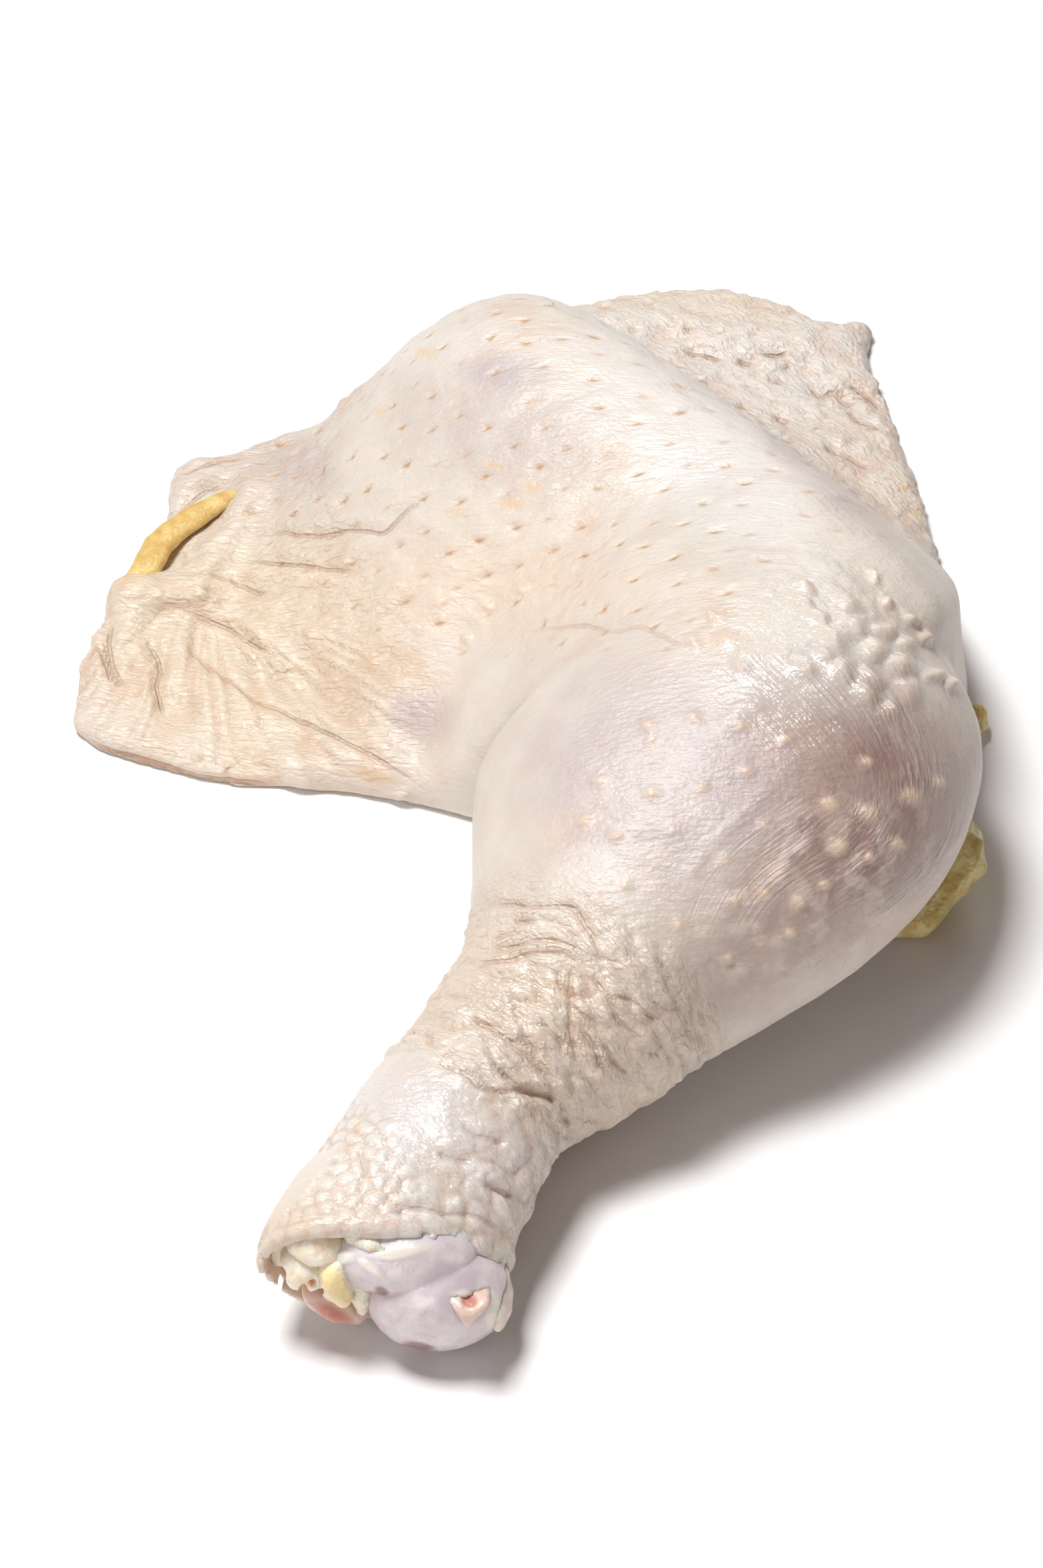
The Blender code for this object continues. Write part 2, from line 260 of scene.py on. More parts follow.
# %% [markdown]
# ## Pores and bumps
# Feathers grew from pores about 5 mm apart. On the thigh each is a small slit, on the calf a pale nodule and
# over the knee a glossy bump. Points are picked on the skin in a random order that never changes, and a point
# is kept when no kept one is too near, which scatters them as evenly as real pores.

# %% Grow the skin's mesh and scatter its pores
SKIN_VOXEL = 0.83
PORE_SPACING, SCALE_SPACING = 4.6, 1.7
PORE_SEED, SCALE_SEED = 3, 12

skin = even_copy("leg", "leg_skin", SKIN_VOXEL)


def scatter(on, spacing, where, seed):
    """Points of the skin at least spacing millimetres apart, where a mask is above a half."""
    order = np.random.default_rng(seed).permutation(np.flatnonzero(where > 0.5))
    kept = []
    for i in order:
        if not kept or np.min(np.sum((on.points[kept] - on.points[i]) ** 2, axis=1)) > spacing**2:
            kept.append(i)
    return on.points[kept]


def tree_of(centres):
    """The centres, sorted so that the nearest one is quickly found."""
    tree = KDTree(len(centres))
    for i, centre in enumerate(centres):
        tree.insert(centre, i)
    tree.balance()
    return tree


def from_nearest(on, centres):
    """At each point of the skin, the way to its nearest centre along the skin, and that centre's number."""
    tree = tree_of(centres)
    number = np.array([tree.find(p)[1] for p in on.points])
    way = on.points - centres[number]
    return way - on.normals * np.sum(way * on.normals, axis=1)[:, None], number


# Soft ovals in the picture's pixels: across, down, half width and half height, and the turn in degrees
THIGH_OVAL = (800, 700, 640, 420, 8)
CALF_OVAL = (1130, 1220, 420, 360)
BARE_CALF_OVAL = (1130, 1220, 400, 330)
LOW_CALF_OVAL = (1130, 1430, 330, 150, -38)
KNEE_OVAL = (1275, 945, 215, 120, 30)
SCALY_OVAL = (495, 1785, 165, 175, 15)
FLAP_FRONT_OVAL = (350, 1030, 330, 190, 12)
LOBULE_OVAL = (730, 880, 260, 90)
# Where one kind of skin fades in or out: rows of the picture
THIGH_END, CALF_START, FLAP_FRONT_START = (960, 1010), (960, 1040), (900, 1000)
# The same in millimetres: down the shank, towards the cut end, and outwards to the flaps
SHANK_START, ANKLE_START, SCALES_START = (29, 36), (57, 60), (61, 65)
INSIDE_START, LIP_START, LIP_FOOT = (78, 80), (89.3, 91.0), (1.0, 4.0)
FLAP_LEFT_OF, FLAP_BEHIND, FLAP_TOP = (4, 22), (-12, 0), (12, 20)
BACK_FLAP_START, BACK_FLAP_TOP = (74, 92), (12, 26)


def regions(on):
    """The parts of the skin that differ in relief, each from 0 to 1."""
    x, y, z = on.points.T
    shank = ramp(-on.along, *SHANK_START)
    return {
        "thigh": on.plateau(THIGH_OVAL) * (1 - ramp(on.down, *THIGH_END)),
        "calf": on.plateau(CALF_OVAL) * ramp(on.down, *CALF_START) * (1 - shank),
        "knee": on.plateau(KNEE_OVAL),
        "shank": shank,
        "ankle": ramp(-on.along, *ANKLE_START),
        "scaly": on.plateau(SCALY_OVAL, 2.0) * ramp(-on.along, *SCALES_START),
        "lip": ramp(-y, *LIP_START) * ramp(z, *LIP_FOOT),
        "left_flap": ramp(-x, *FLAP_LEFT_OF) * ramp(y, *FLAP_BEHIND) * (1 - ramp(z, *FLAP_TOP)),
        "back_flap": ramp(x + y, *BACK_FLAP_START) * (1 - ramp(z, *BACK_FLAP_TOP)),
        "inside": ramp(-y, *INSIDE_START) * (on.normals[:, 1] > 0.2),
    }


# Bumps that show, in the picture's pixels: across, down, half length and half width
KNEE_BUMPS = (
    (1124, 982, 22, 15), (1170, 978, 20, 16), (1093, 959, 20, 12), (1042, 967, 18, 10),
    (1202, 1003, 26, 17), (1248, 961, 34, 24), (1261, 1007, 34, 22), (1299, 1045, 26, 17),
    (1307, 1020, 26, 18), (1353, 999, 24, 18), (1362, 1041, 26, 20), (1316, 978, 24, 18),
    (1362, 974, 22, 16), (1404, 1016, 18, 12), (1429, 1028, 16, 10), (1198, 906, 26, 13),
    (1269, 906, 28, 14), (1282, 944, 26, 16), (1210, 881, 22, 10), (1225, 930, 24, 13),
    (1150, 925, 24, 11), (1330, 950, 20, 13), (1390, 960, 14, 9), (1372, 930, 12, 8),
    (1335, 905, 14, 8), (1310, 868, 14, 8), (1075, 925, 18, 8), (1110, 1005, 16, 10),
    (1235, 985, 16, 12), (1340, 1068, 18, 12),
)
CALF_BUMPS = (
    (1042, 1079, 13, 10), (975, 1091, 12, 9), (1114, 1091, 12, 9), (1122, 1159, 11, 8),
    (1055, 1184, 11, 8), (979, 1192, 13, 10), (903, 1176, 11, 8), (878, 1235, 12, 9),
    (924, 1256, 11, 8), (1248, 1209, 18, 15), (1307, 1222, 20, 15), (1370, 1197, 20, 16),
    (1303, 1146, 12, 10), (1261, 1272, 20, 16), (1307, 1289, 14, 11), (1349, 1268, 14, 11),
    (1198, 1357, 16, 13), (1151, 1344, 13, 10), (1105, 1352, 12, 10), (1412, 1176, 12, 9),
    (1189, 1403, 13, 10), (1010, 1250, 9, 7), (1090, 1290, 9, 7), (1150, 1240, 9, 7),
    (940, 1330, 9, 7), (1020, 1390, 10, 8), (1095, 1440, 11, 8), (980, 1110, 8, 6),
    (1180, 1110, 9, 7), (1240, 1330, 12, 9),
)
FLAP_BUMPS = (
    (468, 957, 20, 17), (494, 1030, 24, 20), (537, 1082, 18, 14), (398, 1139, 20, 17),
    (468, 1108, 16, 13), (602, 1195, 18, 10), (560, 1000, 14, 11), (430, 1000, 14, 10),
    (340, 1150, 14, 10), (700, 960, 12, 9), (300, 1135, 12, 9), (660, 905, 14, 10),
    (600, 880, 12, 9), (735, 915, 14, 10), (785, 890, 14, 9),
)


def domes(on, spots, turn, soft=0.7):
    """Oval bumps at spots in the picture: 1 at each top."""
    highest = np.zeros(len(on.points))
    for across, down, long, wide in spots:
        highest = np.maximum(highest, on.patch(across, down, long, wide, turn, soft))
    return highest * on.seen


coarse = Skin(skin)
part = regions(coarse)
bare_calf = coarse.plateau(BARE_CALF_OVAL, 3.0) * coarse.seen
pored = coarse.top * (1 - part["shank"]) * (1 - part["knee"]) * (1 - bare_calf)
pores = scatter(coarse, PORE_SPACING, pored, PORE_SEED)
scales = scatter(coarse, SCALE_SPACING, coarse.top * part["ankle"] * (1 - part["inside"]), SCALE_SEED)
print("pores", len(pores), "scales", len(scales))

# %% [markdown]
# ## More points where the forms are small
# The flat underside needs no points, so its faces become one. The shank, the bumps, the left flap's folds and
# the ground round each pore are the smallest forms, so each face there is cut in four.

# %% Refine the mesh
BASE_LEVEL = 0.25
PORE_REACH = 1.5

pore_away = np.linalg.norm(from_nearest(coarse, pores)[0], axis=1)
facing_up = coarse.normals[:, 2] > -0.4
small_forms = (pore_away < PORE_REACH) & (part["thigh"] > 0.4)
small_forms |= (coarse.patch(*FLAP_FRONT_OVAL) > 0.3) & (part["left_flap"] > 0.4)
small_forms &= coarse.seen > 0.3
small_forms |= (part["knee"] > 0.5) | ((part["shank"] > 0.5) & facing_up)
small_forms |= domes(coarse, CALF_BUMPS + FLAP_BUMPS + KNEE_BUMPS, 30.0) > 0.02
small_forms &= part["inside"] < 0.5

bm = bmesh.new()
bm.from_mesh(skin.data)
bm.verts.ensure_lookup_table()
fine = [e for e in bm.edges if small_forms[e.verts[0].index] and small_forms[e.verts[1].index]]
bmesh.ops.subdivide_edges(bm, edges=fine, cuts=1, use_grid_fill=True)
base = [f for f in bm.faces if f.normal.z < -0.98 and max(v.co.z for v in f.verts) < BASE_LEVEL * MM]
bmesh.ops.dissolve_faces(bm, faces=base, use_verts=True)
bmesh.ops.triangulate(bm, faces=[f for f in bm.faces if len(f.verts) > 4])
bm.to_mesh(skin.data)
bm.free()
skin.data.shade_smooth()
on = Skin(skin)
part = regions(on)
points, top, seen = on.points, on.top, on.seen
print("skin points", len(points), "triangles", sum(len(f.vertices) - 2 for f in skin.data.polygons))

# %% Slits, nodules and bumps
# A slit is a dimple with a low shoulder above it, all in millimetres, and leans a little in radians
SLIT_LEAN, SLIT_LEAN_SPREAD = -0.1, 0.22
LEAN_SEED, DEPTH_SEED = 5, 6
DIMPLE_LONG, DIMPLE_WIDE, DIMPLE_DEPTH = 1.7, 0.8, 0.24
SHOULDER_LONG, SHOULDER_WIDE, SHOULDER_HEIGHT, SHOULDER_AWAY = 2.4, 0.8, 0.22, 1.3
# The bumps' outlines wander by a few pixels, and their heights are in millimetres
WANDER, WANDER_SIZE = 6.0, 2.6
KNEE_BUMP_HEIGHT, CALF_BUMP_HEIGHT, FLAP_BUMP_HEIGHT = 1.0, 0.45, 0.6


def widened(spots, longer, wider):
    """The same bumps, each a little larger."""
    return [(across, down, long * longer, wide * wider) for across, down, long, wide in spots]


way, number = from_nearest(on, pores)
lean = np.random.default_rng(LEAN_SEED).normal(SLIT_LEAN, SLIT_LEAN_SPREAD, len(pores))[number]
slit_along = way[:, 0] * np.cos(lean) - way[:, 1] * np.sin(lean)
distance = np.linalg.norm(way, axis=1)
slit_side = np.where(way[:, 1] * np.cos(lean) > 0, 1, -1)
slit_across = np.sqrt(np.maximum(distance**2 - slit_along**2, 0)) * slit_side
slit_deep = np.random.default_rng(DEPTH_SEED).uniform(0.3, 1.0, len(pores))[number]

height = np.zeros(len(points))
dimple = np.exp(-(slit_along / DIMPLE_LONG) ** 2 - (slit_across / DIMPLE_WIDE) ** 2)
shoulder = np.exp(-((slit_across - SHOULDER_AWAY) / SHOULDER_WIDE) ** 2 - (slit_along / SHOULDER_LONG) ** 2)
height += part["thigh"] * slit_deep * (SHOULDER_HEIGHT * shoulder - DIMPLE_DEPTH * dimple)

wavy = Skin(skin)
wavy.across = on.across + WANDER * grain(points, WANDER_SIZE, 4.4)
wavy.down = on.down + WANDER * grain(points, WANDER_SIZE, 7.4)
knee_bumps = domes(wavy, widened(KNEE_BUMPS, 1.25, 1.2), 28.0, 1.0)
calf_bumps = domes(on, widened(CALF_BUMPS, 1.3, 1.3), 20.0, 0.9)
flap_bumps = domes(wavy, FLAP_BUMPS, 0.0, 0.9)
height += KNEE_BUMP_HEIGHT * knee_bumps + CALF_BUMP_HEIGHT * calf_bumps + FLAP_BUMP_HEIGHT * flap_bumps
height += part["knee"] * 0.3 * np.maximum(grain(points, 1.5, 3.7), 0)

# %% [markdown]
# ## Wrinkles
# Each crease below was followed in the photograph, its corners in the photograph's pixels. Round the
# shank, grain drawn out into rings and turned into pillows adds the small puffy folds between them. The
# number before each puff is its height in millimetres. In its grain stand the sizes of its swells, also in
# millimetres, and last a shift that gives it a pattern of its own.

# %% The creases that show
NECK_CREASES = (
    ((724, 1367), (760, 1359), (789, 1364), (839, 1362), (864, 1367), (881, 1391), (896, 1414), (912, 1462)),
    ((767, 1385), (789, 1387), (810, 1385)),
    ((739, 1419), (760, 1407), (785, 1401)),
    ((728, 1437), (756, 1426), (781, 1421), (810, 1414), (839, 1416), (864, 1426), (881, 1444)),
    ((706, 1462), (731, 1450), (760, 1446), (789, 1437), (817, 1434), (846, 1434), (874, 1459)),
    ((840, 1455), (842, 1480), (856, 1501), (860, 1516), (881, 1530), (892, 1537), (908, 1559)),
    ((858, 1459), (858, 1484), (860, 1509)),
    ((885, 1466), (899, 1480), (914, 1498), (921, 1519), (931, 1537), (949, 1551), (967, 1567)),
    ((917, 1494), (939, 1501), (956, 1509), (974, 1523), (996, 1534)),
    ((703, 1519), (717, 1534), (739, 1544), (756, 1559), (774, 1569), (789, 1580), (821, 1616), (842, 1637)),
    ((785, 1544), (789, 1559), (803, 1576), (810, 1594), (831, 1623)),
    ((810, 1537), (824, 1551), (842, 1566), (846, 1580)),
    ((856, 1505), (855, 1530), (860, 1559), (867, 1580), (871, 1601)),
    ((871, 1541), (885, 1562), (896, 1580), (903, 1601), (924, 1626)),
    ((903, 1562), (917, 1587), (931, 1605), (946, 1616)),
    ((656, 1594), (678, 1605), (703, 1616), (721, 1634), (760, 1641), (789, 1641)),
    ((746, 1598), (764, 1616), (781, 1634), (792, 1641)),
)
ANKLE_CREASES = (
    ((748, 1600), (771, 1624), (799, 1643), (831, 1647)),
    ((708, 1608), (736, 1632), (760, 1651), (779, 1663)),
    ((692, 1691), (716, 1707), (748, 1715), (760, 1723)),
    ((657, 1730), (681, 1742), (716, 1746)),
    ((724, 1778), (752, 1790), (780, 1802)),
    ((542, 1727), (546, 1750), (554, 1762)),
    ((550, 1837), (601, 1821), (633, 1815), (673, 1825), (704, 1825), (736, 1837), (760, 1857), (771, 1877)),
)
FLAP_CREASES = (
    ((277, 970), (303, 987), (338, 1013), (390, 1052), (429, 1065), (494, 1100), (580, 1147), (637, 1186)),
    ((286, 922), (338, 939), (372, 965), (407, 983)),
    ((294, 865), (338, 870), (372, 883), (403, 892)),
    ((264, 718), (320, 696), (375, 688)),
    ((260, 770), (303, 740), (342, 718)),
    ((381, 805), (420, 800), (459, 805), (494, 800), (520, 796), (550, 800), (580, 800), (611, 766),
     (637, 757)),
    ((364, 845), (450, 850), (537, 860)),
    ((168, 935), (164, 970), (177, 1013), (190, 1030)),
    ((129, 1000), (147, 978), (164, 1009), (168, 1030)),
    ((220, 960), (240, 1000), (236, 1040), (250, 1080)),
)
BACK_CREASES = (
    ((1026, 525), (1059, 532), (1091, 543)),
    ((1109, 539), (1134, 546)),
    ((1141, 532), (1166, 532), (1184, 530)),
    ((1212, 575), (1237, 593), (1251, 586), (1269, 604), (1291, 607)),
    ((1266, 579), (1291, 586), (1316, 600), (1326, 611)),
    ((1273, 621), (1309, 636), (1323, 643)),
    ((1166, 625), (1187, 632)),
    ((1237, 668), (1273, 682), (1309, 704)),
)
RING_CREASES = (((745, 1655), (789, 1641), (810, 1646), (831, 1653), (846, 1664), (853, 1687), (855, 1701)),)
CUT_EDGE = (((115, 1106), (170, 1130), (230, 1148), (300, 1166), (360, 1176), (430, 1186)),)
CALF_EDGE = (((785, 950), (840, 944), (880, 940), (916, 948), (960, 940), (1010, 962), (1060, 975)),)
CALF_VEINS = (((1177, 1167), (1151, 1192), (1093, 1247), (1067, 1272), (1038, 1310), (1017, 1327)),)
CALF_FOLDS = (
    ((1244, 1243), (1219, 1268), (1198, 1285), (1172, 1315), (1147, 1344)),
    ((1080, 1108), (1101, 1079), (1126, 1062), (1160, 1070)),
)
LOBE_RIDGES = (
    ((385, 690), (372, 727), (364, 761), (346, 805), (316, 831), (302, 862)),
    ((150, 905), (185, 884), (240, 892), (290, 895), (345, 908)),
)
PINCH_FOLDS = (
    ((300, 862), (322, 850), (352, 846)),
    ((300, 868), (330, 872), (356, 880)),
    ((296, 866), (300, 884), (306, 904)),
    ((292, 858), (286, 842), (292, 826)),
)
FLAP_LOBES = (
    ((205, 910), (196, 960), (215, 1020), (230, 1090)),
    ((262, 915), (268, 980), (300, 1040), (330, 1110)),
    ((150, 925), (140, 980), (155, 1050)),
)
# Groups of lines: the lines, half width and depth of each groove or ridge in millimetres, and how dark a groove
# is
# painted: painted shade in a crease, and the cut edge's own reddish line
GROOVES = (
    (NECK_CREASES, 0.42, 0.42, 0.45), (ANKLE_CREASES, 0.6, 0.4, 0.3), (FLAP_CREASES, 0.8, 0.6, 0.7),
    (BACK_CREASES, 0.8, 0.7, 0.9), (RING_CREASES, 0.7, 0.7, 0.4), (CALF_EDGE, 0.8, 0.2, 0.4),
    (CUT_EDGE, 0.5, 0.3, 1.2),
)
RIDGES = (
    (CALF_VEINS, 0.6, 0.2), (CALF_FOLDS, 1.0, 0.4), (LOBE_RIDGES, 2.0, 1.3), (PINCH_FOLDS, 0.8, 0.8),
    (FLAP_LOBES, 2.0, 0.6),
)
# A groove wobbles a little in millimetres, has a bank on each side, and fades out over a share of its length
WOBBLE, BANK_HEIGHT, FADE_LENGTH = 0.2, 0.45, 0.18
RIDGE_FADE_LENGTH = 0.2
NO_LINE_NEAR = 9.0

# The nearest line at each point and its tint: painted shade in a crease, the real reddish colour on the cut
# edge
line_away, crease_shade_and_red = np.full(len(points), NO_LINE_NEAR), np.zeros(len(points))
for lines, width, depth, dark in GROOVES:
    for corners in lines:
        away, along = on.from_line(corners)
        away = away + WOBBLE * grain(points, 3.0, 6.1)
        fade = np.clip(np.minimum(along, 1 - along) / FADE_LENGTH, 0.1, 1) * seen
        bank = BANK_HEIGHT * np.exp(-((np.abs(away) - 2.0 * width) / width) ** 2)
        height += fade * depth * (bank - np.exp(-(away / width) ** 2))
        closer = np.abs(away) < np.abs(line_away)
        line_away = np.where(closer, away, line_away)
        crease_shade_and_red = np.where(closer, dark * fade, crease_shade_and_red)
for lines, width, stand in RIDGES:
    for corners in lines:
        away, along = on.from_line(corners)
        fade = np.clip(np.minimum(along, 1 - along) / RIDGE_FADE_LENGTH, 0, 1) * seen
        height += fade * stand * np.exp(-(away / width) ** 2)

# %% Puffy skin round the shank
# The ankle is lumpiest to the right of a line in the picture, which leans from the given row on
LUMPY_START, LUMPY_ROW, LUMPY_LEAN = (610, 720), 1750, 0.4
WARP_REACH, WARP_SIZE = 1.4, 6.0

beside_shank = points - np.outer(on.along, SHANK_RUN)
warp = WARP_REACH * grain(points, WARP_SIZE)


def ring_grain(short, long, shift=0.0):
    """Grain drawn out round the shank."""
    return grain(beside_shank / long + np.outer((on.along + warp) / short, SHANK_RUN), 1.0, shift)


def puff(swells, sharp=0.06):
    """Swells turned into pillows with a crease wherever the swells pass through nought."""
    return np.sqrt(swells**2 + sharp**2) - 0.3


# What the puffs from here on press in gets painted shade later, as a hollow
before = height.copy()
neck = part["shank"] * (1 - part["ankle"])
strength = 0.65 + 0.35 * ramp(grain(points, 9.0, 3.3), -0.3, 0.4)
neck_puffs = 0.85 * puff(ring_grain(2.0, 4.6, 1.0)) + 0.55 * puff(ring_grain(1.15, 3.0, 6.0))
height += neck * strength * neck_puffs
height += neck * 0.3 * puff(ring_grain(0.7, 1.8, 9.0))
lumpy = part["ankle"] * (1 - part["scaly"])
right_side = ramp(on.across + LUMPY_LEAN * (on.down - LUMPY_ROW), *LUMPY_START)
ankle_puffs = 0.9 * puff(ring_grain(2.3, 3.4, 2.0)) + 0.25 * puff(grain(points, 1.3, 6.6))
height += lumpy * (0.35 + 0.65 * right_side) * ankle_puffs

# %% Crinkles, swells and lumps
# The left flap's folds fan out from the knot where it is pinched, given in the picture's pixels. Their grain
# is fine in angle and long in reach.
PINCH_KNOT = (300, 865)
PIXELS_PER_MM = 12.0

flap_wrinkles = puff(grain(points, (6.0, 1.5, 2.4), 3.1)) + 0.6 * puff(grain(points, (3.4, 0.95, 1.6), 8.1))
front = ramp(on.down, *FLAP_FRONT_START) * part["left_flap"]
slanted = np.stack([points[:, 0] - points[:, 1], points[:, 0] + points[:, 1], points[:, 2]], axis=1)
from_knot = np.stack([on.across - PINCH_KNOT[0], on.down - PINCH_KNOT[1]], axis=1) / PIXELS_PER_MM
heading, knot_away = np.arctan2(from_knot[:, 1], from_knot[:, 0]), np.linalg.norm(from_knot, axis=1)
fan = np.stack([heading, knot_away, np.zeros(len(points))], axis=1)
fan_wrinkles = puff(grain(fan, (0.13, 15.0, 1.0), 6.3)) + 0.5 * puff(grain(fan, (0.06, 9.0, 1.0), 2.7))
height += part["left_flap"] * (0.55 * (1 - front) * flap_wrinkles + 1.3 * front * fan_wrinkles)
thigh_ripples = 0.3 * puff(grain(points, (5.5, 1.9, 2.4), 1.3))
thigh_ripples += 0.16 * puff(grain(points, (3.0, 1.2, 1.5), 5.3))
height += part["thigh"] * thigh_ripples
rough = puff(grain(slanted[:, (1, 0, 2)], (2.2, 4.6, 3.0), 5.7)) + 0.6 * puff(grain(points, 1.5, 1.9))
height += part["back_flap"] * 0.75 * rough
height += 0.2 * grain(points, 8.0, 2.2) + 0.08 * grain(points, 3.4, 8.8)
low_calf_puffs = 0.5 * puff(grain(points, 2.6, 2.9)) + 0.2 * puff(grain(points, 1.4, 5.9))
height += part["calf"] * on.plateau(LOW_CALF_OVAL, 2.0) * low_calf_puffs
height += 0.3 * on.plateau(LOBULE_OVAL, 2.0) * puff(grain(points, (2.2, 1.7, 1.7), 4.8))
hollow_shade = ramp(before - height, 0.02, 0.3)
height += part["left_flap"] * 0.7 * grain(points, (6.0, 5.0, 5.0), 9.2)

# %% Scales of the ankle
# Scales stand up between narrow gaps, and no relief is higher or deeper than the limit, all in millimetres
SCALE_HEIGHT, SCALE_GAP = 0.55, 0.4
RELIEF_LIMIT = 1.6
RIM_THICKNESS = 0.45

tree = tree_of(scales)
gap = np.ones(len(points))
for i in np.flatnonzero((part["scaly"] > 0.02) & (part["inside"] < 0.5)):
    near, far = tree.find_n(points[i], 2)
    gap[i] = far[2] - near[2]
height += part["scaly"] * SCALE_HEIGHT * (0.4 - np.exp(-gap / SCALE_GAP))

# The cut rim is smooth on its inside and along its lip, and a little thicker than the solid's
height = height * (1 - 0.85 * part["inside"]) + 0.4 * part["inside"]
height = height * (1 - 0.8 * part["lip"]) + RIM_THICKNESS * part["lip"]
height = np.clip(height, -RELIEF_LIMIT, RELIEF_LIMIT)
write_points(skin, points + on.normals * (height * top)[:, None])
print("relief from", height.min().round(2), "to", height.max().round(2), "mm")

# %% Masks for the skin's finish
YELLOW_SPOTS = (
    (640, 530, 26, 12), (800, 733, 24, 16), (770, 757, 30, 13), (572, 620, 16, 10), (510, 610, 14, 8),
    (538, 1695, 7, 26), (530, 1722, 12, 9), (560, 1165, 70, 14), (480, 1195, 60, 12), (1362, 729, 14, 16),
    (1380, 771, 12, 14), (190, 880, 40, 14), (740, 700, 26, 10), (690, 770, 30, 10),
)
# Ovals of each tone, in the picture's pixels: strength, across, down, half width, half height, turn, softness
TONE_OVALS = {
    "lilac": ((0.8, 1000, 1170, 330, 260, 10), (0.4, 770, 650, 240, 130, 10), (0.6, 760, 560, 110, 45, 5),
              (0.5, 450, 700, 90, 60, 20), (0.9, 635, 1075, 70, 60), (0.5, 1240, 730, 190, 45, 45)),
    # mauve flesh under the skin, and painted shade on the calf's lower side, which faces away from the lamps
    "mauve_and_shade": ((0.85, 1290, 1180, 270, 280, -20, 1.0), (0.4, 1320, 1230, 180, 240, 10, 1.0),
              (0.6, 1150, 1400, 340, 170, -38, 1.0)),
    "peach": ((0.75, 720, 880, 330, 120), (0.4, 470, 950, 260, 130, 20)),
    "cream": ((0.9, 350, 980, 380, 300, 15), (0.6, 480, 1800, 170, 150), (0.3, 1100, 450, 260, 60)),
    "blush": ((0.25, 620, 1650, 110, 90), (0.3, 760, 1760, 110, 170, -20)),
    # white painted highlight where the lamps glint: the thigh's ridge, the knee, the top edge and the ankle's
    # top
    "painted_highlight": ((0.8, 1060, 700, 330, 130, 40), (0.9, 600, 1740, 260, 220, 10), (0.5, 1240, 1000, 220, 130, 28),
             (0.6, 1120, 520, 380, 160, 20), (0.4, 700, 520, 300, 80)),
    "wet": ((1.0, 1240, 1010, 240, 170, 28), (0.7, 680, 1720, 200, 150, 25), (0.45, 850, 1500, 200, 170),
            (0.4, 1120, 760, 280, 140, 42)),
}
BACK_EDGE_OVAL = (1100, 450, 330, 50, 3)
# Where the shank turns sallow and where that ends, in millimetres down it, and rows where the calf is dappled
SALLOW_START, SALLOW_END, DAPPLED_START = (32, 44), (46, 64), (1120, 1300)

tones = {name: sum(strong * on.patch(*oval) for strong, *oval in ovals) for name, ovals in TONE_OVALS.items()}
tones["wet"] = tones["wet"] + 0.25 * part["ankle"] + 0.12
tones["sallow"] = 0.25 * ramp(-on.along, *SALLOW_START) * (1 - ramp(-on.along, *SALLOW_END))
tones["sallow"] += domes(on, YELLOW_SPOTS, 10.0, 1.0)
tones["sallow"] += 0.3 * part["back_flap"] * on.patch(*BACK_EDGE_OVAL)
tones["nodule"] = calf_bumps + 0.6 * flap_bumps + 0.35 * knee_bumps
# painted shade in the narrow gaps between the ankle's scales
tones["scale_gap_shade"] = part["scaly"] * np.exp(-gap / SCALE_GAP)
tones["hollow_shade"] = hollow_shade
tones["dappled"] = 0.8 * part["calf"] * ramp(on.down, *DAPPLED_START)
for name, values in tones.items():
    store(skin, name, np.clip(values, 0, 1))

# Streaks of painted highlight, with fine ridges pressed in as bumps, run along a line over the knee and down
# the
# calf: its corners and rows in the picture's pixels, its length and the reach to each side in millimetres
STREAK_LINE = ((860, 480), (1060, 640), (1200, 780), (1330, 900), (1420, 1000), (1475, 1120), (1480, 1230),
               (1440, 1330), (1370, 1400), (1280, 1465))
STREAK_START, STREAK_END = (960, 1030), (1330, 1420)
STREAK_LENGTH, STREAK_EDGE, STREAK_REACH = 120, (8, 28), 40
# How far from a pore and from a crease their own coordinates are kept, in millimetres
PORE_AREA, CREASE_AREA = 2.4, 0.95

streak_away, streak_along = on.from_line(STREAK_LINE, reach=260.0)
highlight_streak_share = (1 - ramp(np.abs(streak_away), *STREAK_EDGE)) * (1 - ramp(on.down, *STREAK_END)) * seen
highlight_streak_share *= 0.25 + 0.75 * ramp(on.down, *STREAK_START)
highlight_streak_share *= 0.3 + 0.7 * ramp(grain(points, 5.0, 7.7), -0.4, 0.3)
streak_side = np.clip(streak_away, -STREAK_REACH, STREAK_REACH)
by_pore = np.clip(PORE_AREA - distance, 0, 1) * slit_deep
by_crease = np.clip(CREASE_AREA - np.abs(line_away), 0, 1)
ring_share = part["shank"] * (1 - 0.5 * part["scaly"]) * (1 - 0.5 * part["ankle"])
ripple_share = np.clip(part["left_flap"] + 0.35 * part["thigh"], 0, 1)
store(skin, "highlight_streaks", np.stack([streak_side, streak_along * STREAK_LENGTH, highlight_streak_share], axis=1))
store(skin, "pore", np.stack([slit_along, slit_across, by_pore], axis=1))
store(skin, "crease", np.stack([line_away, by_crease, crease_shade_and_red], axis=1))
store(skin, "thigh", part["thigh"] * seen)
store(skin, "wrinkled", np.stack([ring_share, ripple_share, part["back_flap"]], axis=1))
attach(skin, "root")
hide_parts("leg")

# %% [markdown]
# ## Writing materials as sums
# A material is a net of nodes. Here one socket is wrapped so that it adds and multiplies like a number, and
# one method puts in any other node.

# %% Sockets that add up
# The sockets of a colour mix: its two colours going in, and the colour coming out
MIX_BELOW, MIX_ABOVE, MIX_RESULT = 6, 7, 2


